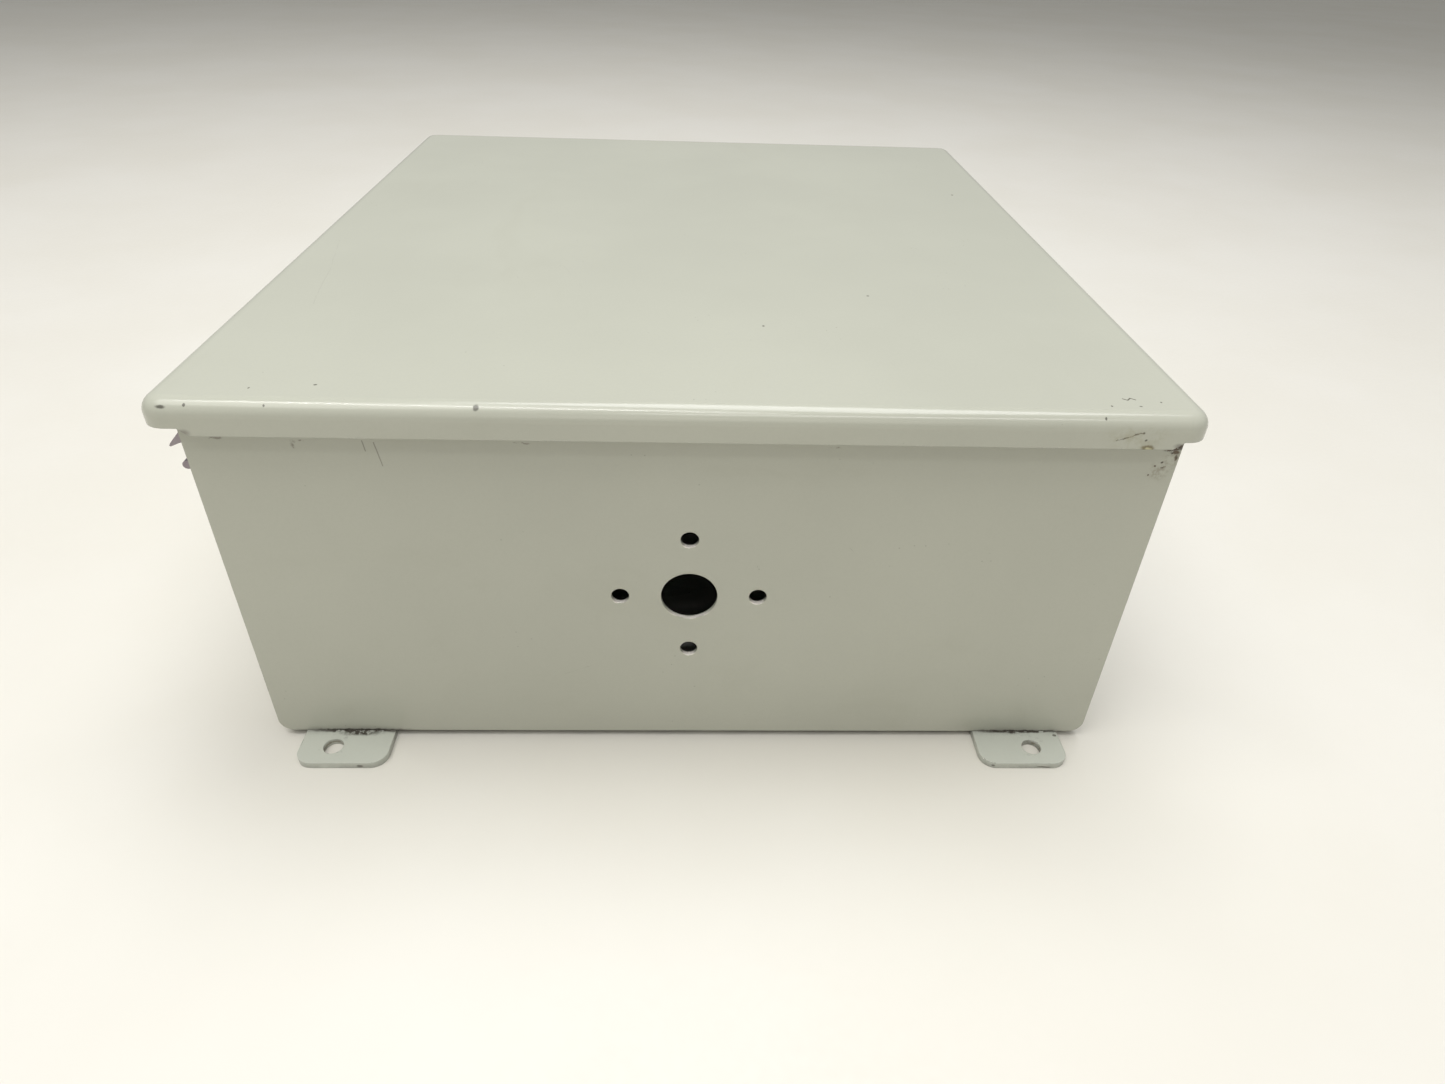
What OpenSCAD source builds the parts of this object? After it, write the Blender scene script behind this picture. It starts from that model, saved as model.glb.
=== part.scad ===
// Wall-mount sheet-steel junction box, shown lying on its back with the lid up.
// Origin: centre of the foot-hole pattern, on the plane the feet rest on.
// X is the width, Y the length, Z the depth. The drilled end wall faces -Y.
// The lid is hinged along +X and clamped along -X.

/* [Body] */
// Width of the body across the two long walls
body_w = 355.6; // [352:0.1:400]
// Length of the body between the outer faces of the end walls
body_l = 406.4; // [404:0.1:450]
// Depth of the body, from its back to its rim
body_d = 152.4; // [110:0.1:200]
// Sheet thickness of the body and the lid
sheet_t = 1.9; // [1.5:0.1:2.2]
// Outer radius of the bend between back and long walls
back_bend_r = 6; // [3:0.5:10]
// Width of the inward rim that the gasket seats on
rim_w = 12.7; // [10:0.1:16]
// Outer radius of the rim bend
rim_bend_r = 3; // [2.2:0.1:4]

/* [Lid] */
// How far the lid flange stands out past the two end walls
lid_over = 7; // [6.2:0.1:8]
// The same on the clamp side
lid_over_left = 9; // [8.8:0.1:9.2]
// The same on the hinge side
lid_over_right = 5.8; // [5.6:0.1:6]
// Height of the lid top above the body rim
lid_rise = 9.6; // [9:0.1:9.8]
// Depth of the turned-down flange, from the lid top to its lower edge
flange_h = 12.6; // [11.5:0.1:12.8]
// Outer radius of the lid bend
lid_bend_r = 6; // [4:0.1:7]
// Plan radius of the lid corners
lid_corner_r = 8.6; // [8:0.1:12]
// How much shorter the flange is at the corners
corner_relief = 2.8; // [0.5:0.1:4]
// Clearance between gasket and rim
gasket_gap = 0.3; // [0.2:0.1:1]

/* [Feet] */
// Thickness of the mounting feet
foot_t = 3; // [2:0.1:4]
// Width of one foot
foot_w = 38.4; // [34:0.1:42]
// Distance of a foot's centre line from the middle
foot_x = 147.4; // [144:0.1:150]
// Hole spacing across the width
foot_hole_sx = 304.8; // [300:0.1:310]
// Hole spacing along the length
foot_hole_sy = 425.45; // [424:0.05:428]
// Diameter of the foot holes
foot_hole_d = 8.4; // [6:0.1:9]
// How far the feet stand out past the end walls
foot_out = 19.05; // [18:0.05:22]
// Corner radius of the feet
foot_corner_r = 7; // [4:0.5:10]

/* [End wall holes] */
// Diameter of the large hole
port_d = 22.5; // [16:0.1:40]
// Pitch circle of the four small holes
port_pcd = 54.8; // [48:0.1:70]
// Diameter of the four small holes
port_screw_d = 7.1; // [4:0.1:9]
// Height of the hole group above the back
port_h = 76.2; // [60:0.1:90]

/* [Hinge] */
// Length of the continuous hinge
hinge_l = 355.6; // [250:0.1:360]
// Number of knuckles, odd
knuckles = 15; // [9:2:21]
// Outer radius of the knuckles
knuckle_r = 3; // [2.8:0.1:3.1]
// Radius of the hinge pin
hinge_pin_r = 1.5; // [1.2:0.1:1.8]
// Distance of the hinge axis from the long wall
hinge_s = 4.2; // [4.1:0.1:4.4]
// Height of the hinge axis below the rim
hinge_drop = 8.1; // [7.9:0.1:8.5]

/* [Clamps] */
// Distance of a clamp's pivot from the long wall
clamp_s = 12.4; // [12.2:0.1:13]
// Height of a clamp's pivot below the rim
clamp_drop = 9.2; // [9:0.1:10]
// Width of a claw
claw_w = 20; // [14:1:30]
// Thickness of a claw
claw_t = 3.6; // [3:0.1:3.8]
// Distance of a claw's near side from the end wall
claw_in = 32.2; // [30:0.1:45]
// Angle through which a released claw has swung from the clamped position
claw_rest_deg = 193; // [175:1:195]
// Advance of the clamp screw
screw_travel = 4.9; // [2:0.1:5]

/* [Inside] */
// Width of the inner panel
panel_w = 327; // [280:1:329]
// Length of the inner panel
panel_l = 374.6; // [320:0.2:378]
// Height of the inner panel above the inside of the back
panel_h = 9.5; // [8:0.5:16]
// Stud spacing across the width
stud_sx = 304.8; // [250:0.1:306]
// Stud spacing along the length
stud_sy = 352.4; // [300:0.1:354]

/* [Hidden] */
$fn = 64;
run_gap = 0.05;
hw = body_w / 2;
hl = body_l / 2;
z0 = foot_t;
z_rim = z0 + body_d;
z_top = z_rim + lid_rise;
z_lip = z_top - flange_h;
lid_hw = hw + (lid_over_left + lid_over_right) / 2;
lid_cx = (lid_over_right - lid_over_left) / 2;
lid_hl = hl + lid_over;
hx = hw + hinge_s;
hz = z_rim - hinge_drop;
px = -(hw + clamp_s);
pz = z_rim - clamp_drop;
seg = hinge_l / knuckles;
c_paint = [0.72, 0.73, 0.68];
c_plate = [0.55, 0.52, 0.55];
c_zinc = [0.70, 0.71, 0.72];

// 2D outline of the body's cross-section: flat top, rounded lower corners
module section_2d(inset) {
    w = body_w - 2 * inset;
    r = back_bend_r - inset;
    union() {
        translate([-w / 2, z0 + inset + r]) square([w, body_d - inset - r]);
        translate([-w / 2 + r, z0 + inset]) square([w - 2 * r, r + 1]);
        translate([-w / 2 + r, z0 + inset + r]) circle(r);
        translate([w / 2 - r, z0 + inset + r]) circle(r);
    }
}

// Bend and rim standing inside an outer face at u = 0, material towards +u
module rim_2d() {
    difference() {
        union() {
            translate([rim_bend_r, z_rim - sheet_t]) square([rim_w - rim_bend_r, sheet_t]);
            intersection() {
                translate([rim_bend_r, z_rim - rim_bend_r]) circle(rim_bend_r);
                translate([0, z_rim - rim_bend_r]) square([rim_bend_r, rim_bend_r]);
            }
        }
        translate([rim_bend_r, z_rim - rim_bend_r]) circle(rim_bend_r - sheet_t);
    }
}

// Prism that keeps a rim inside its own mitred quarter: half-width a, at distance b
module mitre(a, b) {
    translate([0, 0, z0])
        linear_extrude(body_d + 2)
            polygon([[-a, -b], [a, -b], [a - 30, -b + 30], [-a + 30, -b + 30]]);
}

module body_wrap() {
    color(c_paint) {
        // back and long walls up to the bend of the rim
        translate([0, hl - sheet_t, 0]) rotate([90, 0, 0])
            linear_extrude(body_l - 2 * sheet_t)
                difference() {
                    section_2d(0);
                    section_2d(sheet_t);
                    translate([-hw - 1, z_rim - rim_bend_r]) square([body_w + 2, 20]);
                }
        // inward rims, mitred at their ends
        for (s = [-1, 1])
            intersection() {
                rotate([0, 0, s * 90]) mitre(hl, hw);
                mirror([s > 0 ? 1 : 0, 0, 0])
                    translate([-hw, hl, 0]) rotate([90, 0, 0])
                        linear_extrude(body_l) rim_2d();
            }
    }
}

// One end wall, with its inward rim, standing at -Y
module end_wall_plain() {
    difference() {
        translate([0, -hl + sheet_t, 0]) rotate([90, 0, 0])
            linear_extrude(sheet_t) section_2d(0);
        translate([-hw - 1, -hl - 1, z_rim - rim_bend_r]) cube([body_w + 2, sheet_t + 2, 20]);
    }
    intersection() {
        mitre(hw, hl);
        translate([-hw, -hl, 0]) rotate([90, 0, 90])
            linear_extrude(body_w) rim_2d();
    }
}

module front_end_wall() {
    color(c_paint)
        difference() {
            end_wall_plain();
            translate([0, -hl - 1, z0 + port_h]) rotate([-90, 0, 0]) {
                cylinder(h = sheet_t + 2, d = port_d);
                for (a = [0:90:270])
                    rotate([0, 0, a]) translate([port_pcd / 2, 0, 0])
                        cylinder(h = sheet_t + 2, d = port_screw_d);
            }
        }
}

module rear_end_wall() {
    color(c_paint) mirror([0, 1, 0]) end_wall_plain();
}

// Mounting foot in the +X, +Y quarter
module foot() {
    y1 = hl + foot_out;
    y0 = hl - 28;
    x0 = foot_x - foot_w / 2;
    x1 = foot_x + foot_w / 2;
    r = foot_corner_r;
    difference() {
        linear_extrude(foot_t)
            union() {
                translate([x0, y0]) square([foot_w, y1 - y0 - r]);
                translate([x0 + r, y1 - r - 1]) square([foot_w - 2 * r, r + 1]);
                translate([x0 + r, y1 - r]) circle(r);
                translate([x1 - r, y1 - r]) circle(r);
            }
        translate([foot_hole_sx / 2, foot_hole_sy / 2, -1])
            cylinder(h = foot_t + 2, d = foot_hole_d);
    }
}
module foot_rear_right() { color(c_paint) foot(); }
module foot_rear_left() { color(c_paint) mirror([1, 0, 0]) foot(); }
module foot_front_right() { color(c_paint) mirror([0, 1, 0]) foot(); }
module foot_front_left() { color(c_paint) mirror([0, 1, 0]) mirror([1, 0, 0]) foot(); }

// Flange and bend profile of the lid; u = 0 is the outer face, u grows inwards
module lid_edge_2d() {
    difference() {
        union() {
            translate([0, z_lip]) square([sheet_t, flange_h - lid_bend_r]);
            intersection() {
                translate([lid_bend_r, z_top - lid_bend_r]) circle(lid_bend_r);
                translate([0, z_top - lid_bend_r]) square([lid_bend_r, lid_bend_r]);
            }
        }
        translate([lid_bend_r, z_top - lid_bend_r]) circle(lid_bend_r - sheet_t);
    }
}

// Same profile, turned about a corner's centre
module lid_corner() {
    rotate_extrude(angle = 90)
        union() {
            translate([lid_corner_r, 0]) mirror([1, 0, 0]) lid_edge_2d();
            translate([0, z_top - sheet_t]) square([lid_corner_r - lid_bend_r, sheet_t]);
        }
}

// Wedge that shortens the flange next to a corner; u is measured from the outer corner
module relief_2d(u0) {
    polygon([[-1, z_lip - 1], [-1, z_lip + corner_relief], [u0, z_lip + corner_relief],
        [u0 + 3.6, z_lip], [u0 + 3.6, z_lip - 1]]);
}

module lid_shell() {
    cr = lid_corner_r;
    color(c_paint)
        translate([lid_cx, 0, 0])
        difference() {
            union() {
                // top plate
                translate([-lid_hw + lid_bend_r, -lid_hl + cr, z_top - sheet_t])
                    cube([2 * (lid_hw - lid_bend_r), 2 * (lid_hl - cr), sheet_t]);
                translate([-lid_hw + cr, -lid_hl + lid_bend_r, z_top - sheet_t])
                    cube([2 * (lid_hw - cr), 2 * (lid_hl - lid_bend_r), sheet_t]);
                // flanges along X, at both ends
                for (s = [0, 1])
                    mirror([0, s, 0])
                        translate([-lid_hw + cr, -lid_hl, 0]) rotate([90, 0, 90])
                            linear_extrude(2 * (lid_hw - cr)) lid_edge_2d();
                // flanges along Y, at both sides
                for (s = [0, 1])
                    mirror([s, 0, 0])
                        translate([-lid_hw, lid_hl - cr, 0]) rotate([90, 0, 0])
                            linear_extrude(2 * (lid_hl - cr)) lid_edge_2d();
                // corners
                for (sx = [0, 1], sy = [0, 1])
                    mirror([sx, 0, 0]) mirror([0, sy, 0])
                        translate([lid_hw - cr, lid_hl - cr, 0]) lid_corner();
            }
            // reliefs at the four corners, on both flanges
            for (sx = [0, 1], sy = [0, 1])
                mirror([sx, 0, 0]) mirror([0, sy, 0]) {
                    over = sx == 0 ? lid_over_left : lid_over_right;
                    translate([-lid_hw, -lid_hl + cr, 0]) rotate([90, 0, 0])
                        linear_extrude(cr + 1) relief_2d(over + 4);
                    translate([-lid_hw + cr, -lid_hl, 0]) mirror([1, 0, 0]) rotate([90, 0, 90])
                        linear_extrude(cr + 1) relief_2d(lid_over + 4);
                }
        }
}

module frame_2d(ox, oy, w) {
    difference() {
        square([2 * ox, 2 * oy], center = true);
        square([2 * (ox - w), 2 * (oy - w)], center = true);
    }
}

module lid_gasket() {
    zb = z_rim + gasket_gap;
    color([0.13, 0.13, 0.13])
        translate([0, 0, zb])
            linear_extrude(z_top - sheet_t - zb)
                frame_2d(hw - 0.5, hl - 0.5, 13);
}

// Start of knuckle i along Y
function knuckle_y(i) = -hinge_l / 2 + i * seg;

module hinge_body_leaf() {
    color(c_zinc)
        difference() {
            union() {
                // flat of the leaf, against the long wall
                translate([hw, -hinge_l / 2, hz - 21]) cube([1.2, hinge_l, 17.4]);
                for (i = [0:2:knuckles - 1])
                    translate([hw, knuckle_y(i) + 0.15, 0]) {
                        translate([0, 0, hz - knuckle_r - 0.6]) cube([1.2, seg - 0.3, 1.8]);
                        translate([0, 0, hz - knuckle_r]) cube([hinge_s, seg - 0.3, 1.2]);
                        translate([hinge_s, 0, hz]) rotate([-90, 0, 0])
                            cylinder(h = seg - 0.3, r = knuckle_r);
                    }
            }
            translate([hx, -hinge_l / 2 - 1, hz]) rotate([-90, 0, 0])
                cylinder(h = hinge_l + 2, r = hinge_pin_r + run_gap);
        }
}

module hinge_lid_leaf() {
    xi = hw + lid_over_right - sheet_t;
    color(c_zinc)
        difference() {
            union() {
                translate([xi - 1.2, -hinge_l / 2, hz + knuckle_r + 0.6])
                    cube([1.2, hinge_l, z_top - lid_bend_r - hz - knuckle_r - 1]);
                for (i = [1:2:knuckles - 2])
                    translate([0, knuckle_y(i) + 0.15, 0]) {
                        translate([xi - 1.2, 0, hz]) cube([1.2, seg - 0.3, knuckle_r + 1]);
                        translate([hx, 0, hz]) rotate([-90, 0, 0])
                            cylinder(h = seg - 0.3, r = knuckle_r);
                    }
            }
            translate([hx, -hinge_l / 2 - 1, hz]) rotate([-90, 0, 0])
                cylinder(h = hinge_l + 2, r = hinge_pin_r + run_gap);
        }
}

module hinge_pin() {
    color(c_zinc)
        translate([hx, -hinge_l / 2, hz]) rotate([-90, 0, 0]) {
            translate([0, 0, -0.85]) cylinder(h = 1, r = hinge_pin_r + 0.9);
            cylinder(h = hinge_l, r = hinge_pin_r);
            translate([0, 0, hinge_l - 0.15]) cylinder(h = 1, r = hinge_pin_r + 0.9);
        }
}

// Clamp parts are drawn for the front clamp; y1 is the claw's near side
y1 = -hl + claw_in;
cheek_t = 2.5;
hook_gap = 5.2;
screw_x = -hw - 1.45;

module bracket() {
    bolt_r = 2.25 + run_gap;
    ya = y1 - 0.3 - cheek_t;
    yb = y1 + claw_w + 0.3;
    difference() {
        union() {
            // leaf welded to the long wall
            translate([-hw - 2.5, ya, pz - 22]) cube([2.5, yb + cheek_t - ya, 23.5]);
            // two cheeks that carry the pivot, each with a pointed stop ear
            for (y = [ya, yb])
                translate([0, y + cheek_t, 0]) rotate([90, 0, 0])
                    linear_extrude(cheek_t)
                        union() {
                            translate([px, pz]) circle(4.8);
                            polygon([[-hw, pz - 13], [-hw, pz + 1.5], [px, pz + 1.5], [px + 1.2, pz - 4.7],
                                [px - 10.1, pz - 17.15], [px - 10.75, pz - 18.2], [px - 10.2, pz - 18.55],
                                [px - 6.6, pz - 17]]);
                        }
        }
        translate([px, ya - 1, pz]) rotate([-90, 0, 0])
            cylinder(h = yb - ya + cheek_t + 2, r = bolt_r);
    }
}

// Pin through the cheeks, upset at both ends
module pivot() {
    r = 2.25;
    ya = y1 - 0.3 - cheek_t;
    yend = y1 + claw_w + 0.3 + cheek_t;
    color(c_plate)
        translate([px, 0, pz]) rotate([-90, 0, 0]) {
            translate([0, 0, ya - 0.3]) cylinder(h = yend - ya + 0.6, r = r);
            for (e = [0, 1])
                translate([0, 0, e == 0 ? ya - 0.1 : yend + 0.1]) mirror([0, 0, 1 - e]) {
                    cylinder(h = 0.9, r = 3.4);
                    translate([0, 0, 0.9]) cylinder(h = 0.8, r1 = 3.4, r2 = 2.2);
                }
        }
}

// Claw outline in its clamped position, in X and Z
module claw_2d() {
    xo = px - 0.8;
    xi = xo + claw_t;
    xn = -hw + 3.75;
    zh = z_top + hook_gap;
    union() {
        translate([px, pz]) circle(4.6);
        difference() {
            union() {
                translate([xo, pz]) square([claw_t, zh + claw_t - 5 - pz]);
                translate([xo + 5, zh + claw_t - 5]) circle(5);
                translate([xo + 5, zh]) square([xn - claw_t / 2 - xo - 5, claw_t]);
                translate([xn - claw_t / 2, zh + claw_t / 2]) circle(claw_t / 2);
            }
            translate([xi + 1, zh - 1]) circle(1);
            translate([xi, zh - 10]) square([20, 9]);
            translate([xi + 1, zh - 8]) square([20, 8]);
        }
    }
}

// Turns a claw from its clamped position to where it hangs when released
module hang() {
    translate([px, 0, pz]) rotate([0, -claw_rest_deg, 0]) translate([-px, 0, -pz]) children();
}

module claw() {
    color(c_plate)
        hang()
            difference() {
                translate([0, y1 + claw_w, 0]) rotate([90, 0, 0])
                    linear_extrude(claw_w) claw_2d();
                translate([px, y1 - 1, pz]) rotate([-90, 0, 0])
                    cylinder(h = claw_w + 2, r = 2.25 + run_gap);
                translate([screw_x, y1 + claw_w / 2, z_top])
                    cylinder(h = 20, r = 2.5 + run_gap);
            }
}

module screw() {
    zh = z_top + hook_gap;
    color(c_plate)
        hang()
            translate([screw_x, y1 + claw_w / 2, zh])
                difference() {
                    union() {
                        cylinder(h = 0.8, r1 = 2, r2 = 2.5);
                        translate([0, 0, 0.8]) cylinder(h = claw_t + screw_travel, r = 2.5);
                        translate([0, 0, claw_t + screw_travel + 0.3]) cylinder(h = 3.6, d = 9.2, $fn = 6);
                    }
                    translate([-6, -0.6, claw_t + screw_travel + 2.6]) cube([12, 1.2, 2]);
                }
}

module clamp_bracket_front() { color(c_plate) bracket(); }
module clamp_bracket_rear() { color(c_plate) mirror([0, 1, 0]) bracket(); }
module clamp_pivot_front() { pivot(); }
module clamp_pivot_rear() { mirror([0, 1, 0]) pivot(); }
module clamp_claw_front() { claw(); }
module clamp_claw_rear() { mirror([0, 1, 0]) claw(); }
module clamp_screw_front() { screw(); }
module clamp_screw_rear() { mirror([0, 1, 0]) screw(); }

// Stud with a collar that stands on the inside of the back
z_in = z0 + sheet_t;
module collar_studs() {
    color(c_zinc)
        for (sx = [-1, 1], sy = [-1, 1])
            translate([sx * stud_sx / 2, sy * stud_sy / 2, z_in]) {
                cylinder(h = panel_h, d = 12.7);
                cylinder(h = panel_h + 13, d = 6.2);
                translate([0, 0, panel_h + 13]) cylinder(h = 0.8, d1 = 6.2, d2 = 4.6);
            }
}

module back_panel() {
    r = 6;
    color([0.88, 0.88, 0.86])
        translate([0, 0, z_in + panel_h])
            difference() {
                linear_extrude(sheet_t)
                    union() {
                        square([panel_w - 2 * r, panel_l], center = true);
                        square([panel_w, panel_l - 2 * r], center = true);
                        for (sx = [-1, 1], sy = [-1, 1])
                            translate([sx * (panel_w / 2 - r), sy * (panel_l / 2 - r)]) circle(r);
                    }
                for (sx = [-1, 1], sy = [-1, 1])
                    translate([sx * stud_sx / 2, sy * stud_sy / 2, -1]) cylinder(h = sheet_t + 2, d = 7.4);
            }
}

// Hex nut with a bearing washer face, standing at z = 0
module nut(af, h, bore) {
    difference() {
        union() {
            cylinder(h = 0.4, d = af - 0.4);
            translate([0, 0, 0.4]) cylinder(h = h - 0.4, d = af / cos(30), $fn = 6);
        }
        translate([0, 0, -1]) cylinder(h = h + 2, d = bore);
    }
}

module panel_nuts() {
    color(c_zinc)
        for (sx = [-1, 1], sy = [-1, 1])
            translate([sx * stud_sx / 2, sy * stud_sy / 2, z_in + panel_h + sheet_t]) nut(11.1, 5.6, 6.2);
}

gx = 60;
gy = -(hl - sheet_t - 7);
module ground_stud() {
    color(c_zinc)
        translate([gx, gy, z_in]) {
            cylinder(h = 0.8, d = 8);
            cylinder(h = 17, d = 6.2);
            translate([0, 0, 17]) cylinder(h = 0.8, d1 = 6.2, d2 = 4.6);
        }
}
module ground_nut() {
    color([0.3, 0.55, 0.3])
        translate([gx, gy, z_in + 3.2]) nut(11.1, 5.6, 6.2);
}

bx = hw - 27;
by = -120;
module lid_bond_stud() {
    color(c_zinc)
        translate([bx, by, z_top - sheet_t]) rotate([180, 0, 0]) {
            cylinder(h = 0.8, d = 8);
            cylinder(h = 14, d = 6.2);
            translate([0, 0, 14]) cylinder(h = 0.8, d1 = 6.2, d2 = 4.6);
        }
}
module lid_bond_nut() {
    color(c_zinc)
        translate([bx, by, z_top - sheet_t - 3.2]) rotate([180, 0, 0]) nut(11.1, 5.6, 6.2);
}

body_wrap();
front_end_wall();
rear_end_wall();
foot_front_left();
foot_front_right();
foot_rear_left();
foot_rear_right();
lid_shell();
lid_gasket();
hinge_body_leaf();
hinge_lid_leaf();
hinge_pin();
clamp_bracket_front();
clamp_bracket_rear();
clamp_pivot_front();
clamp_pivot_rear();
clamp_claw_front();
clamp_claw_rear();
clamp_screw_front();
clamp_screw_rear();
collar_studs();
back_panel();
panel_nuts();
ground_stud();
ground_nut();
lid_bond_stud();
lid_bond_nut();
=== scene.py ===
import math

import bmesh
import bpy
from mathutils import Matrix, Vector


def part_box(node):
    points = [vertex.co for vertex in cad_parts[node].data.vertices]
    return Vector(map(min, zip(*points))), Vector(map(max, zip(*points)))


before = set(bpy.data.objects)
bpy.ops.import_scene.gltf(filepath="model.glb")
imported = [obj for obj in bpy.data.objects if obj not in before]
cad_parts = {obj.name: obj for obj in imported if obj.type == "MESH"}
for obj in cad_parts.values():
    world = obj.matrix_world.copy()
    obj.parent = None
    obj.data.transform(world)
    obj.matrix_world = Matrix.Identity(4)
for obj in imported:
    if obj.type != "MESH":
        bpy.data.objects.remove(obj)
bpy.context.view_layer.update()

MM = 0.001
scene = bpy.context.scene

# ------------------------------------------------------------------ camera
FOCAL, PITCH, ROLL, YAW = 920.003, 0.6120, 0.0368, 0.0472
EYE = Vector((-1.1223, -490.6221, 307.7963)) * MM
fwd = Vector((math.sin(YAW) * math.cos(PITCH), math.cos(YAW) * math.cos(PITCH), -math.sin(PITCH)))
r0 = Vector((math.cos(YAW), -math.sin(YAW), 0))
u0 = r0.cross(fwd)
right = r0 * math.cos(ROLL) + u0 * math.sin(ROLL)
up = -r0 * math.sin(ROLL) + u0 * math.cos(ROLL)
cam_data = bpy.data.cameras.new("camera")
cam_data.sensor_fit = "HORIZONTAL"
cam_data.sensor_width = 36
cam_data.lens = FOCAL * 36 / 1445
cam_data.clip_start = 0.01
cam = bpy.data.objects.new("camera", cam_data)
scene.collection.objects.link(cam)
cam.matrix_world = Matrix((
    (right.x, up.x, -fwd.x, EYE.x),
    (right.y, up.y, -fwd.y, EYE.y),
    (right.z, up.z, -fwd.z, EYE.z),
    (0, 0, 0, 1)))
scene.camera = cam
scene.view_settings.view_transform = "Standard"
scene.view_settings.look = "None"


# ------------------------------------------------------------- node helpers
class Mat:
    """One procedural material, in metres of the object's own space."""

    def __init__(self, name):
        self.m = bpy.data.materials.new(name)
        self.m.use_nodes = True
        self.t = self.m.node_tree
        self.t.nodes.clear()
        out = self.t.nodes.new("ShaderNodeOutputMaterial")
        self.b = self.t.nodes.new("ShaderNodeBsdfPrincipled")
        self.t.links.new(self.b.outputs["BSDF"], out.inputs["Surface"])
        self.co = self.t.nodes.new("ShaderNodeTexCoord").outputs["Object"]

    def put(self, socket, value):
        if isinstance(value, bpy.types.NodeSocket):
            self.t.links.new(value, socket)
        elif value is not None:
            socket.default_value = value

    def math(self, op, a, b=None, c=None, clamp=False):
        n = self.t.nodes.new("ShaderNodeMath")
        n.operation = op
        n.use_clamp = clamp
        for i, v in enumerate((a, b, c)):
            self.put(n.inputs[i], v)
        return n.outputs[0]

    def vec(self, op, a, b=None, c=None):
        n = self.t.nodes.new("ShaderNodeVectorMath")
        n.operation = op
        for i, v in enumerate((a, b, c)):
            self.put(n.inputs[i], v)
        return n.outputs["Value"] if op in ("LENGTH", "DOT_PRODUCT") else n.outputs["Vector"]

    def span(self, v, a, b, c=0.0, d=1.0, smooth=True):
        n = self.t.nodes.new("ShaderNodeMapRange")
        n.interpolation_type = "SMOOTHSTEP" if smooth else "LINEAR"
        for i, x in enumerate((v, a, b, c, d)):
            self.put(n.inputs[i], x)
        return n.outputs[0]

    def noise(self, scale, detail=3.0, rough=0.5, co=None, stretch=None, warp=0.0, colour=False):
        n = self.t.nodes.new("ShaderNodeTexNoise")
        src = co if co is not None else self.co
        if stretch:
            src = self.vec("MULTIPLY", src, stretch)
        self.put(n.inputs["Vector"], src)
        n.inputs["Scale"].default_value = scale
        n.inputs["Detail"].default_value = detail
        n.inputs["Roughness"].default_value = rough
        n.inputs["Distortion"].default_value = warp
        return n.outputs["Color"] if colour else n.outputs["Fac"]

    def cells(self, scale, feature="F1", co=None):
        n = self.t.nodes.new("ShaderNodeTexVoronoi")
        n.feature = feature
        self.put(n.inputs["Vector"], co if co is not None else self.co)
        n.inputs["Scale"].default_value = scale
        return n.outputs["Distance"]

    def mix(self, f, a, b, kind="MIX"):
        n = self.t.nodes.new("ShaderNodeMix")
        n.data_type = "RGBA"
        n.blend_type = kind
        n.clamp_factor = True
        self.put(n.inputs[0], f)
        self.put(n.inputs[6], a)
        self.put(n.inputs[7], b)
        return n.outputs[2]

    def edge(self, radius, low=0.03, high=0.22):
        """1 on sharp edges, from the bevelled normal against the true one."""
        bev = self.t.nodes.new("ShaderNodeBevel")
        bev.samples = 4
        bev.inputs["Radius"].default_value = radius
        geo = self.t.nodes.new("ShaderNodeNewGeometry")
        dot = self.vec("DOT_PRODUCT", bev.outputs["Normal"], geo.outputs["Normal"])
        return self.span(self.math("SUBTRACT", 1.0, dot), low, high)

    def bevel(self, radius):
        bev = self.t.nodes.new("ShaderNodeBevel")
        bev.samples = 4
        bev.inputs["Radius"].default_value = radius
        return bev.outputs["Normal"]

    def crevice(self, distance, low=0.35, high=0.8):
        """1 in tight corners."""
        ao = self.t.nodes.new("ShaderNodeAmbientOcclusion")
        ao.samples = 4
        ao.inputs["Distance"].default_value = distance
        return self.span(ao.outputs["AO"], low, high, 1.0, 0.0)

    def bump(self, height, strength, distance, normal=None):
        n = self.t.nodes.new("ShaderNodeBump")
        n.inputs["Strength"].default_value = strength
        n.inputs["Distance"].default_value = distance
        self.put(n.inputs["Height"], height)
        self.put(n.inputs["Normal"], normal)
        return n.outputs["Normal"]

    def spot(self, centre, radii, soft=0.35, co=None):
        """1 inside an ellipsoid given in mm, with a soft border."""
        rr = tuple(1000.0 / r for r in radii)
        off = tuple(-c / r for c, r in zip(centre, radii))
        p = self.vec("MULTIPLY_ADD", co if co is not None else self.co, rr, off)
        return self.span(self.vec("LENGTH", p), 1 + soft, 1 - soft)

    def line(self, a, b, width, soft=0.4, co=None):
        """1 along a straight scratch from a to b, in mm."""
        a, b = Vector(a) * MM, Vector(b) * MM
        ab = b - a
        pa = self.vec("SUBTRACT", co if co is not None else self.co, tuple(a))
        t = self.math("DIVIDE", self.vec("DOT_PRODUCT", pa, tuple(ab)), ab.length_squared, clamp=True)
        n = self.t.nodes.new("ShaderNodeVectorMath")
        n.operation = "SCALE"
        n.inputs[0].default_value = tuple(ab)
        self.put(n.inputs["Scale"], t)
        d = self.vec("LENGTH", self.vec("SUBTRACT", pa, n.outputs["Vector"]))
        w = width * MM / 2
        return self.span(d, w * (1 + soft), w * (1 - soft))

    def any_of(self, masks):
        out = masks[0]
        for m in masks[1:]:
            out = self.math("MAXIMUM", out, m)
        return out

    def warped(self, scale, amount_mm):
        """Coordinates pushed about by noise, so that marks get ragged borders."""
        col = self.noise(scale, 4, 0.6, colour=True)
        push = self.vec("SUBTRACT", col, (0.5, 0.5, 0.5))
        return self.vec("MULTIPLY_ADD", push, (amount_mm * MM,) * 3, self.co)

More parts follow.
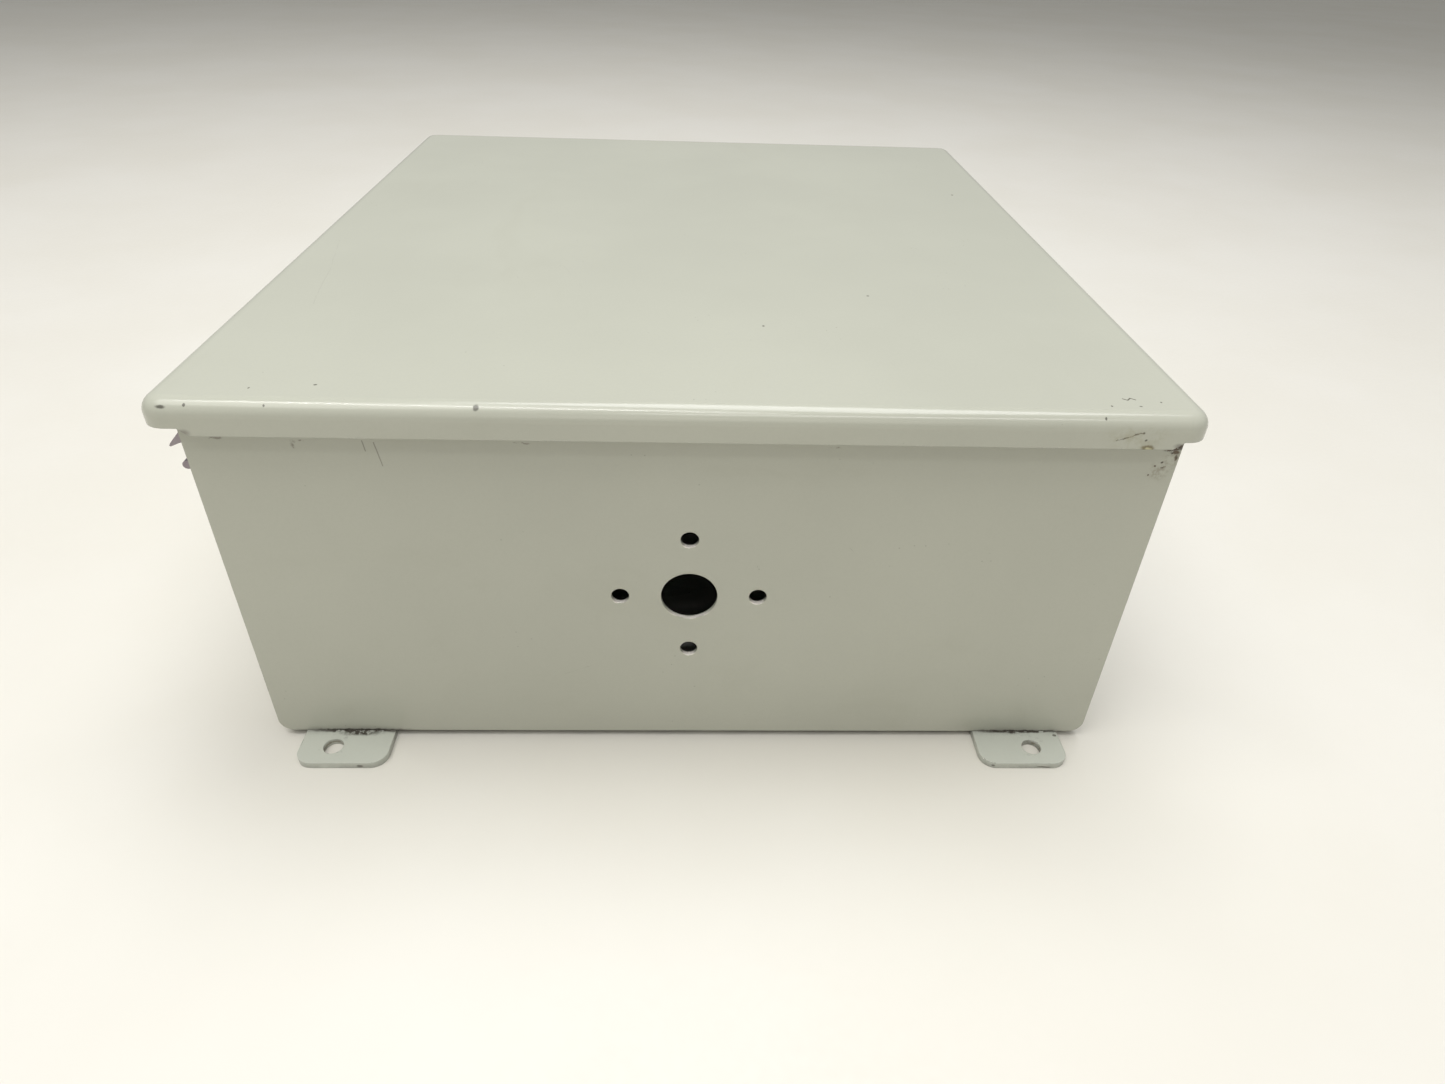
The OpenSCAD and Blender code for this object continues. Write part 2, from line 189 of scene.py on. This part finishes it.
    def finish(self, colour, rough, normal, metal=0.0, ior=1.5, level=0.5, coat=0.0, coat_rough=0.1):
        self.put(self.b.inputs["Base Color"], colour)
        self.put(self.b.inputs["Roughness"], rough)
        self.put(self.b.inputs["Normal"], normal)
        self.put(self.b.inputs["Metallic"], metal)
        self.b.inputs["IOR"].default_value = ior
        self.b.inputs["Specular IOR Level"].default_value = level
        self.b.inputs["Coat Weight"].default_value = coat
        self.b.inputs["Coat Roughness"].default_value = coat_rough
        return self.m


def rgb(r, g, b):
    return (r, g, b, 1.0)


# ---------------------------------------------------------------- materials
GRIME_AND_SHADE = rgb(0.045, 0.037, 0.028)
RUST = rgb(0.075, 0.035, 0.018)
STEEL = rgb(0.52, 0.51, 0.49)


def paint(name, base, marks=None, wear=0.5, grime_and_ao_shade_amount=0.6, level=0.5):
    """Powder coat: orange peel, faint cloudiness, handling smears, corner soiling mixed with painted shade, worn
    edges.
    """
    k = Mat(name)
    cloud = k.noise(9, 3, 0.55)
    fine = k.noise(850, 2, 0.5)
    smear = k.noise(16, 4, 0.62, stretch=(1.0, 0.35, 1.6), warp=0.6)
    dark = tuple(c * 0.97 for c in base[:3]) + (1.0,)
    light = tuple(min(1, c * 1.015) for c in base[:3]) + (1.0,)
    col = k.mix(k.span(cloud, 0.3, 0.7), dark, light)
    col = k.mix(k.span(fine, 0.35, 0.75, 0.0, 0.07), col, tuple(c * 0.8 for c in base[:3]) + (1.0,))
    col = k.mix(k.span(smear, 0.56, 0.74, 0.0, 0.10), col, rgb(base[0] * 0.74, base[1] * 0.72, base[2] * 0.64))
    # pinholes and dust nibs
    nib = k.cells(260)
    gate = k.span(k.noise(33, 2, 0.5), 0.60, 0.66)
    nibs = k.math("MULTIPLY", k.span(nib, 0.10, 0.05), gate)
    col = k.mix(k.math("MULTIPLY", nibs, 0.35), col, rgb(0.16, 0.15, 0.12))
    # corner soiling mixed with painted shade: colour darkened in tight corners by the ambient occlusion, broken up by
    # noise
    tight = k.crevice(0.007, 0.30, 0.78)
    grime_and_ao_shade = k.math("MULTIPLY", tight, k.span(k.noise(120, 4, 0.65), 0.30, 0.62))
    col = k.mix(k.math("MULTIPLY", grime_and_ao_shade, grime_and_ao_shade_amount), col, GRIME_AND_SHADE)
    # rubbed edges, where the coat is thin, and chips down to steel
    rim = k.edge(0.0011)
    rub = k.math("MULTIPLY", rim, k.span(k.noise(140, 4, 0.7), 0.46, 0.60))
    chip = k.math("MULTIPLY", rim, k.span(k.noise(70, 5, 0.72), 0.585, 0.62))
    col = k.mix(k.math("MULTIPLY", rub, 0.45 * wear), col, rgb(0.72, 0.71, 0.66))
    bare = k.math("MULTIPLY", chip, wear, clamp=True)
    rough = k.span(smear, 0.3, 0.75, 0.13, 0.19)
    rough = k.math("ADD", rough, k.span(fine, 0.3, 0.7, -0.02, 0.03))
    extra = None
    if marks:
        col, bare, extra = marks(k, col, bare)
    col = k.mix(bare, col, STEEL)
    rough = k.math("ADD", rough, k.math("MULTIPLY", grime_and_ao_shade, 0.35), clamp=True)
    peel = k.noise(420, 2, 0.5)
    h = k.math("MULTIPLY_ADD", k.noise(1500, 2, 0.5), 0.22, peel)
    h = k.math("MULTIPLY_ADD", bare, -1.6, h)
    if extra is not None:
        h = k.math("ADD", h, extra)
    normal = k.bump(h, 0.18, 0.00003, k.bevel(0.0005))
    return k.finish(col, rough, normal, metal=k.math("MULTIPLY", bare, 0.85), level=level)


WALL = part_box("front_end_wall")[0][1] / MM          # outer face of the drilled end wall
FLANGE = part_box("lid_shell")[0][1] / MM            # outer face of the lid's front flange
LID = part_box("lid_shell")[1][2] / MM               # top of the lid
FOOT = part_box("foot_front_left")[1][2] / MM        # top of the feet
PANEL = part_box("back_panel")[1][2] / MM            # top of the inner panel


def body_marks(k, col, bare):
    w = k.warped(240, 1.6)
    w2 = k.warped(90, 3.5)
    wr = k.warped(420, 2.2)
    F = WALL
    # rust and grime under the lid at the front right corner
    rust = k.any_of([
        k.spot((174.3, F, 149.6), (3.6, 1.5, 1.9), 0.3, wr),
        k.spot((175.9, F, 147.4), (1.5, 1.5, 0.7), 0.4, wr),
        k.spot((176.8, F, 145.2), (0.6, 1.5, 1.2), 0.4, wr),
        k.spot((171.8, F, 143.0), (0.45, 1.5, 0.45), 0.4, w),
        k.spot((169.8, F, 141.7), (0.4, 1.5, 0.4), 0.4, w),
        k.spot((168.5, F, 137.9), (0.4, 1.5, 0.4), 0.4, w),
        k.spot((172.9, F, 141.2), (0.8, 1.5, 0.3), 0.4, wr),
        k.spot((178.6, F, 10.7), (0.7, 1.5, 0.7), 0.4, w),
    ])
    fleck = k.span(k.noise(700, 3, 0.65), 0.33, 0.44)
    col = k.mix(k.math("MULTIPLY", k.math("MULTIPLY", rust, fleck), 0.95), col,
                k.mix(k.span(k.noise(600, 3, 0.6), 0.4, 0.6), GRIME_AND_SHADE, RUST))
    stain = k.any_of([
        k.spot((171.9, F, 139.6), (3.4, 1.5, 3.6), 0.6, w2),
        k.spot((175.2, F, 144.5), (2.8, 1.5, 4.5), 0.6, w2),
    ])
    veil = k.span(k.noise(330, 4, 0.7), 0.42, 0.60)
    col = k.mix(k.math("MULTIPLY", k.math("MULTIPLY", stain, veil), 0.42), col, rgb(0.20, 0.16, 0.10))
    # rub marks and a few dark ticks just under the lip
    lip = k.any_of([
        k.spot((-139.5, F, 146.2), (1.0, 1.5, 1.7), 0.5, wr),
        k.spot((-137.0, F, 147.4), (2.2, 1.5, 0.4), 0.5, wr),
        k.spot((-165.5, F, 148.0), (2.4, 1.5, 0.4), 0.5, wr),
        k.spot((-60.0, F, 147.6), (3.0, 1.5, 0.3), 0.5, wr),
        k.spot((52.0, F, 147.4), (2.2, 1.5, 0.25), 0.5, wr),
    ])
    col = k.mix(k.math("MULTIPLY", k.math("MULTIPLY", lip, veil), 0.6), col, rgb(0.13, 0.10, 0.08))
    # hairline scratch by the left corner and two fainter ones
    ws = k.warped(60, 0.9)
    hair = k.any_of([
        k.line((-111.4, F, 147.0), (-110.1, F, 137.6), 0.5, 0.5, ws),
        k.line((-115.5, F, 147.6), (-115.0, F, 143.6), 0.45, 0.5, ws),
        k.line((61.0, F, 104.0), (74.0, F, 92.0), 0.10, 0.6, ws),
        k.line((-40.0, F, 42.0), (-52.0, F, 37.0), 0.09, 0.6, ws),
    ])
    col = k.mix(k.math("MULTIPLY", hair, 0.6), col, rgb(0.17, 0.16, 0.13))
    # thin line of grime where the feet pass under the wall
    foot = k.any_of([
        k.spot((-144.0, F, 3.0), (20.5, 2.6, 0.75), 0.5, wr),
        k.spot((148.0, F, 3.0), (20.0, 2.6, 0.6), 0.5, wr),
    ])
    ragged = k.span(k.noise(260, 4, 0.7), 0.30, 0.44)
    col = k.mix(k.math("MULTIPLY", k.math("MULTIPLY", foot, ragged), 0.9), col, GRIME_AND_SHADE)
    # soft darker patch low on the wall above the right foot
    haze = k.spot((139.0, F, 6.5), (17.0, 3.0, 4.5), 0.9, w2)
    col = k.mix(k.math("MULTIPLY", haze, 0.22), col, rgb(0.16, 0.16, 0.13))
    # bare steel at the lower edges of the holes, painted near-white as a painted highlight where the upward-facing
    # bore catches light from above
    lit_bore_rims = []
    for x, z, r, d in ((0, 79.2, 11.25, 0.5), (-27.4, 79.2, 3.55, 0.45), (27.4, 79.2, 3.55, 0.45),
                       (0, 106.6, 3.55, 0.45), (0, 51.8, 3.55, 0.45)):
        out = k.spot((x, F + 0.7, z - 0.05), (r + d, 2.4, r + d), 0.04, w)
        low = k.spot((x, F + 0.7, z - r), (r * 0.8, 2.6, r * 0.55), 0.4, w)
        lit_bore_rims.append(k.math("MULTIPLY", out, low))
    rim = k.math("MULTIPLY", k.any_of(lit_bore_rims), k.span(k.noise(700, 3, 0.6), 0.25, 0.45, 0.7, 1.0))
    col = k.mix(rim, col, rgb(0.88, 0.84, 0.79))
    dent = k.math("MULTIPLY", hair, -0.8)
    return col, bare, dent


def lid_marks(k, col, bare):
    w = k.warped(240, 1.2)
    w2 = k.warped(60, 2.4)
    wr = k.warped(420, 1.8)
    F, T = FLANGE, LID
    dark = k.any_of([
        k.spot((-72.9, F + 2.2, 163.6), (0.95, 1.8, 0.9), 0.35, w),
        k.spot((-177.2, F + 2.2, 162.6), (1.7, 1.6, 0.55), 0.35, w),
        k.spot((-169.5, F + 2.0, 163.3), (0.45, 1.6, 0.5), 0.35, w),
        k.spot((-143.2, F + 2.0, 163.4), (0.4, 1.6, 0.4), 0.35, w),
        k.spot((-130.4, -195.0, T), (0.7, 0.5, 1.2), 0.35, w),
        k.spot((-151.7, -198.3, T), (0.35, 0.5, 1.2), 0.35, w),
        k.spot((29.0, -134.1, T), (0.5, 0.6, 1.2), 0.35, w),
        k.spot((77.8, -97.1, T), (0.6, 0.5, 1.2), 0.35, w),
        k.spot((155.9, 77.3, T), (0.7, 0.8, 1.2), 0.35, w),
        k.spot((148.0, -202.0, T), (0.35, 0.5, 1.2), 0.35, w),
        k.spot((158.3, -201.9, T), (0.5, 0.4, 1.2), 0.35, w),
        k.spot((167.0, -198.4, T), (0.35, 0.45, 1.2), 0.35, w),
        k.spot((143.9, F + 1.6, 163.4), (0.4, 1.2, 0.5), 0.35, w),
        k.spot((159.4, F, 156.0), (0.45, 1.4, 0.45), 0.35, w),
    ])
    col = k.mix(k.math("MULTIPLY", dark, 0.8), col, rgb(0.05, 0.045, 0.035))
    # scratches on the front flange near the right corner and a nick on the top
    ws = k.warped(120, 0.8)
    dash = k.span(k.noise(520, 3, 0.6), 0.34, 0.46)
    scr = k.any_of([
        k.line((149.0, F, 155.7), (152.6, F, 157.0), 0.5, 0.5, wr),
        k.line((152.6, F, 157.0), (155.3, F, 158.3), 0.42, 0.5, wr),
        k.line((155.3, F, 158.3), (158.2, F, 158.8), 0.6, 0.5, wr),
    ])
    col = k.mix(k.math("MULTIPLY", k.math("MULTIPLY", scr, dash), 0.85), col, rgb(0.08, 0.07, 0.055))
    worm = k.any_of([
        k.line((154.0, -196.0, T), (155.4, -197.0, T), 0.55, 0.4, ws),
        k.line((155.4, -197.0, T), (156.9, -195.4, T), 0.55, 0.4, ws),
        k.line((156.9, -195.4, T), (158.4, -196.6, T), 0.55, 0.4, ws),
    ])
    col = k.mix(k.math("MULTIPLY", worm, 0.85), col, rgb(0.06, 0.05, 0.035))
    scr = k.math("MAXIMUM", scr, worm)
    faint = k.any_of([
        k.line((-155.2, -126.2, T), (-163.0, -76.0, T), 0.35, 0.6, w2),
        k.line((-163.0, -76.0, T), (-171.5, -34.6, T), 0.3, 0.6, w2),
        k.line((44.0, 20.0, T), (71.0, 33.0, T), 0.22, 0.6, w2),
        k.line((-62.0, -60.0, T), (-48.0, -95.0, T), 0.2, 0.6, w2),
    ])
    col = k.mix(k.math("MULTIPLY", faint, 0.18), col, rgb(0.27, 0.26, 0.22))
    # dingy veil over the knocked right end of the flange
    veil = k.math("MULTIPLY", k.spot((156.5, F, 156.6), (9.5, 2.0, 4.2), 0.6, w2), k.span(k.noise(240, 4, 0.7), 0.40, 0.64))
    col = k.mix(k.math("MULTIPLY", veil, 0.34), col, rgb(0.30, 0.27, 0.15))
    knock = k.spot((161.2, F, 152.6), (1.2, 2.2, 0.55), 0.35, wr)
    ring = k.spot((161.0, F, 152.9), (2.3, 2.6, 1.25), 0.35, wr)
    col = k.mix(k.math("MULTIPLY", ring, 0.8), col, rgb(0.14, 0.11, 0.035))
    col = k.mix(knock, col, rgb(0.50, 0.48, 0.30))
    # painted shadow in the notches beside the corners, where the lip rises off the body
    painted_notch_shadow = k.any_of([
        k.spot((-172.4, F + 1, 153.6), (2.6, 2.4, 1.3), 0.5, w),
        k.spot((172.5, F + 1, 153.8), (2.4, 2.4, 1.0), 0.5, w),
    ])
    col = k.mix(k.math("MULTIPLY", painted_notch_shadow, 0.55), col, rgb(0.13, 0.11, 0.10))
    dent = k.math("MULTIPLY", k.math("MAXIMUM", scr, k.math("MULTIPLY", knock, 1.5)), -0.8)
    return col, bare, dent


def foot_marks(k, col, bare):
    w = k.warped(200, 1.2)
    wr = k.warped(420, 1.8)
    T, Y = FOOT, WALL
    ragged = k.span(k.noise(330, 4, 0.7), 0.36, 0.50)
    joint = k.any_of([
        k.spot((-144.0, Y - 0.4, T), (19.5, 1.0, 2.0), 0.5, wr),
        k.spot((-143.0, Y - 1.6, T), (7.5, 1.5, 2.0), 0.6, wr),
        k.spot((149.0, Y - 0.3, T), (18.5, 0.8, 2.0), 0.5, wr),
        k.spot((146.6, Y - 0.8, T), (2.5, 1.0, 2.0), 0.5, wr),
    ])
    col = k.mix(k.math("MULTIPLY", k.math("MULTIPLY", joint, ragged), 0.95), col, GRIME_AND_SHADE)
    rubs = k.any_of([
        k.spot((165.0, Y - 2.6, T), (0.9, 0.7, 1.0), 0.35, w),
        k.spot((-138.8, -222.6, 1.2), (1.2, 1.2, 0.7), 0.35, w),
        k.spot((133.4, -221.3, 1.6), (1.0, 1.0, 0.8), 0.35, w),
        k.spot((155.5, -222.3, 0.9), (3.0, 1.0, 0.4), 0.35, w),
    ])
    col = k.mix(k.math("MULTIPLY", rubs, 0.75), col, rgb(0.07, 0.06, 0.045))
    # faint pressed ring and bare steel where a fixing bolt has bitten
    ring = []
    for sx in (-1, 1):
        for sy in (-1, 1):
            outer = k.spot((sx * 152.4, sy * 212.725, T), (7.4, 7.4, 3.0), 0.08, w)
            inner = k.spot((sx * 152.4, sy * 212.725, T), (4.7, 4.7, 3.0), 0.08, w)
            ring.append(k.math("SUBTRACT", outer, inner, clamp=True))
    bite = k.math("MULTIPLY", k.any_of(ring), k.span(k.noise(190, 4, 0.7), 0.56, 0.68))
    bare = k.math("MAXIMUM", bare, k.math("MULTIPLY", bite, 0.25))
    edge = []
    for sx in (-1, 1):
        for sy in (-1, 1):
            edge.append(k.spot((sx * 152.4, sy * 212.725, 1.5), (4.6, 4.6, 1.6), 0.05, w))
    ochre = k.math("MULTIPLY", k.any_of(edge), k.span(k.noise(420, 3, 0.6), 0.42, 0.56))
    col = k.mix(k.math("MULTIPLY", ochre, 0.55), col, rgb(0.13, 0.095, 0.045))
    return col, bare, None


def metal(name, base, rough_low, rough_high, scale=1.0, along=(1.0, 1.0, 1.0), tint=None, stain=0.35, bump=0.35,
          edge_light=0.5):
    """Plated or plain steel: drawn grain, tarnish clouds, corner soiling mixed with painted shade, bright edges."""
    k = Mat(name)
    cloud = k.noise(60 * scale, 4, 0.6)
    grain = k.noise(900, 3, 0.6, stretch=along)
    dark = tuple(c * 0.72 for c in base[:3]) + (1.0,)
    lite = tuple(min(1, c * 1.16) for c in base[:3]) + (1.0,)
    col = k.mix(k.span(cloud, 0.3, 0.7), dark, lite)
    if tint:
        col = k.mix(k.span(k.noise(38, 3, 0.6, warp=0.8), 0.46, 0.66, 0, 0.7), col, tint)
    col = k.mix(k.span(grain, 0.35, 0.7, 0.0, 0.22), col, dark)
    # corner soiling mixed with painted shade: colour darkened in tight corners by the ambient occlusion
    tight = k.crevice(0.004, 0.30, 0.75)
    grime_and_ao_shade = k.math("MULTIPLY", tight, k.span(k.noise(300, 4, 0.7), 0.30, 0.60))
    grime_and_ao_shade = k.math("MULTIPLY", grime_and_ao_shade, stain * 2, clamp=True)
    col = k.mix(grime_and_ao_shade, col, rgb(0.05, 0.045, 0.04))
    white = k.span(k.noise(210, 5, 0.72), 0.60, 0.72, 0.0, stain)
    col = k.mix(white, col, rgb(0.50, 0.49, 0.46))
    rim = k.math("MULTIPLY", k.edge(0.0006), k.span(k.noise(260, 3, 0.6), 0.38, 0.6))
    col = k.mix(k.math("MULTIPLY", rim, edge_light), col, rgb(0.78, 0.77, 0.75))
    rough = k.span(cloud, 0.3, 0.75, rough_low, rough_high)
    rough = k.math("ADD", rough, k.math("MULTIPLY", white, 0.6), clamp=True)
    met = k.math("SUBTRACT", 1.0, k.math("MULTIPLY", k.math("MAXIMUM", grime_and_ao_shade, white), 0.8), clamp=True)
    h = k.math("MULTIPLY_ADD", k.noise(1600, 2, 0.5), 0.4, grain)
    normal = k.bump(h, bump, 0.00004, k.bevel(0.00025))
    return k.finish(col, rough, normal, metal=met)


def foam(name):
    """Closed-cell foam strip: fine cells, dusty skin."""
    k = Mat(name)
    cells = k.cells(1400, "F1")
    dust = k.noise(90, 4, 0.65)
    col = k.mix(k.span(cells, 0.0, 0.55), rgb(0.035, 0.035, 0.036), rgb(0.010, 0.010, 0.011))
    col = k.mix(k.span(dust, 0.52, 0.75, 0.0, 0.45), col, rgb(0.16, 0.15, 0.13))
    rough = k.span(dust, 0.3, 0.8, 0.78, 0.95)
    normal = k.bump(k.math("ADD", cells, k.math("MULTIPLY", k.noise(220, 3, 0.6), 0.8)), 0.7, 0.00022, k.bevel(0.0006))
    return k.finish(col, rough, normal, level=0.3)


def enamel(name):
    """White baked enamel of the inner panel, with scuffs, drips of dust and bare edges."""
    k = Mat(name)
    cloud = k.noise(11, 3, 0.55)
    col = k.mix(k.span(cloud, 0.3, 0.7), rgb(0.72, 0.72, 0.69), rgb(0.80, 0.80, 0.775))
    scuff = k.noise(26, 5, 0.7, stretch=(1.0, 3.2, 1.0), warp=1.2)
    col = k.mix(k.span(scuff, 0.60, 0.70, 0.0, 0.30), col, rgb(0.36, 0.35, 0.32))
    nibs = k.math("MULTIPLY", k.span(k.cells(150), 0.07, 0.03), k.span(k.noise(30, 2), 0.56, 0.62))
    col = k.mix(k.math("MULTIPLY", nibs, 0.6), col, rgb(0.14, 0.12, 0.09))
    rub = k.math("MULTIPLY", k.edge(0.0012), k.span(k.noise(110, 4, 0.7), 0.50, 0.60))
    col = k.mix(rub, col, STEEL)
    ring = []
    for sx in (-1, 1):
        for sy in (-1, 1):
            o = k.spot((sx * 152.4, sy * 176.2, PANEL), (8.5, 8.5, 3.0), 0.12)
            i = k.spot((sx * 152.4, sy * 176.2, PANEL), (5.0, 5.0, 3.0), 0.12)
            ring.append(k.math("SUBTRACT", o, i, clamp=True))
    bite = k.math("MULTIPLY", k.any_of(ring), k.span(k.noise(200, 4, 0.7), 0.42, 0.6))
    col = k.mix(k.math("MULTIPLY", bite, 0.7), col, rgb(0.42, 0.41, 0.39))
    rough = k.span(scuff, 0.35, 0.7, 0.24, 0.5)
    h = k.math("MULTIPLY_ADD", k.noise(1300, 2, 0.5), 0.2, k.noise(330, 2, 0.5))
    normal = k.bump(h, 0.45, 0.00004, k.bevel(0.0005))
    return k.finish(col, rough, normal, metal=k.math("MULTIPLY", rub, 0.8))


GREY = rgb(0.478, 0.484, 0.412)
mats = {
    "body": paint("paint_body", GREY, body_marks, wear=0.5),
    "lid": paint("paint_lid", GREY, lid_marks, wear=0.5, grime_and_ao_shade_amount=0.45),
    "paint_feet": paint("paint_feet", rgb(0.545, 0.565, 0.505), foot_marks, wear=0.9, grime_and_ao_shade_amount=0.8),
    "gasket_rubber": foam("gasket_foam"),
    "panel_white": enamel("panel_enamel"),
    "hinge_steel": metal("hinge_steel", rgb(0.46, 0.47, 0.46), 0.30, 0.48, along=(1.0, 0.15, 1.0)),
    "clamp_steel": metal("clamp_plate", rgb(0.34, 0.305, 0.325), 0.34, 0.55, tint=rgb(0.29, 0.23, 0.28), stain=0.25,
                         edge_light=0.35),
    "zinc": metal("zinc_plate", rgb(0.56, 0.56, 0.58), 0.26, 0.44, tint=rgb(0.60, 0.55, 0.38)),
    "ground_green": metal("green_plate", rgb(0.06, 0.26, 0.09), 0.28, 0.42, stain=0.2),
}


def dress(name, material):
    ob = bpy.data.objects[name]
    if not ob.material_slots:
        ob.data.materials.append(material)
    for s in ob.material_slots:
        s.material = material


DRESS = {
    "body": ("body_wrap", "front_end_wall", "rear_end_wall"),
    "lid": ("lid_shell",),
    "paint_feet": ("foot_front_left", "foot_front_right", "foot_rear_left", "foot_rear_right"),
    "gasket_rubber": ("lid_gasket",),
    "panel_white": ("back_panel",),
    "hinge_steel": ("hinge_body_leaf", "hinge_lid_leaf", "hinge_pin"),
    "clamp_steel": ("clamp_bracket_front", "clamp_bracket_rear", "clamp_pivot_front", "clamp_pivot_rear",
                    "clamp_claw_front", "clamp_claw_rear", "clamp_screw_front", "clamp_screw_rear"),
    "zinc": ("collar_studs", "panel_nuts", "ground_stud", "lid_bond_stud", "lid_bond_nut"),
    "ground_green": ("ground_nut",),
}
for key, names in DRESS.items():
    for name in names:
        dress(name, mats[key])

# -------------------------------------------------------------------- stage
floor_mat = Mat("floor")
fl = floor_mat.noise(3.5, 4, 0.6)
fc = floor_mat.mix(floor_mat.span(fl, 0.3, 0.7), rgb(0.735, 0.712, 0.65), rgb(0.762, 0.742, 0.69))
fine = floor_mat.noise(260, 3, 0.6)
floor_mat.finish(fc, floor_mat.span(fine, 0.3, 0.7, 0.42, 0.58), floor_mat.bump(fine, 0.12, 0.0001), level=0.35)
fm = bpy.data.meshes.new("floor")
bm = bmesh.new()
bmesh.ops.create_grid(bm, x_segments=8, y_segments=8, size=4.0)
bm.to_mesh(fm)
bm.free()
floor = bpy.data.objects.new("floor", fm)
floor.location = (0, 1.2, -0.00002)
scene.collection.objects.link(floor)
fm.materials.append(floor_mat.m)


def area(name, place, aim, size, power, colour, size_y=None):
    d = bpy.data.lights.new(name, "AREA")
    d.shape = "RECTANGLE"
    d.size = size
    d.size_y = size_y or size
    d.energy = power
    d.color = colour
    o = bpy.data.objects.new(name, d)
    o.location = place
    o.rotation_euler = (Vector(aim) - Vector(place)).to_track_quat("-Z", "Y").to_euler()
    scene.collection.objects.link(o)
    return o


area("key", (-0.75, -0.5, 2.0), (0, 0, 0.08), 1.3, 14, (1.0, 0.98, 0.93))
area("top", (0.25, 0.35, 2.1), (0, 0.1, 0.1), 1.8, 29, (0.98, 0.985, 1.0), 1.0)
area("front", (0.1, -2.4, 1.0), (0, 0, 0.08), 1.4, 3.2, (1.0, 0.95, 0.85), 0.8)
area("strip_over", (-0.45, -0.47, 1.85), (-0.25, -0.21, 0.16), 1.7, 7, (1.0, 1.0, 0.99), 0.035)
area("strip_front", (0.45, -1.40, 1.75), (0.2, -0.21, 0.16), 1.2, 4.5, (1.0, 0.99, 0.97), 0.035)
world = bpy.data.worlds.new("world")
world.use_nodes = True
bg = world.node_tree.nodes["Background"]
bg.inputs["Color"].default_value = (0.97, 0.97, 0.93, 1)
bg.inputs["Strength"].default_value = 0.33
scene.world = world
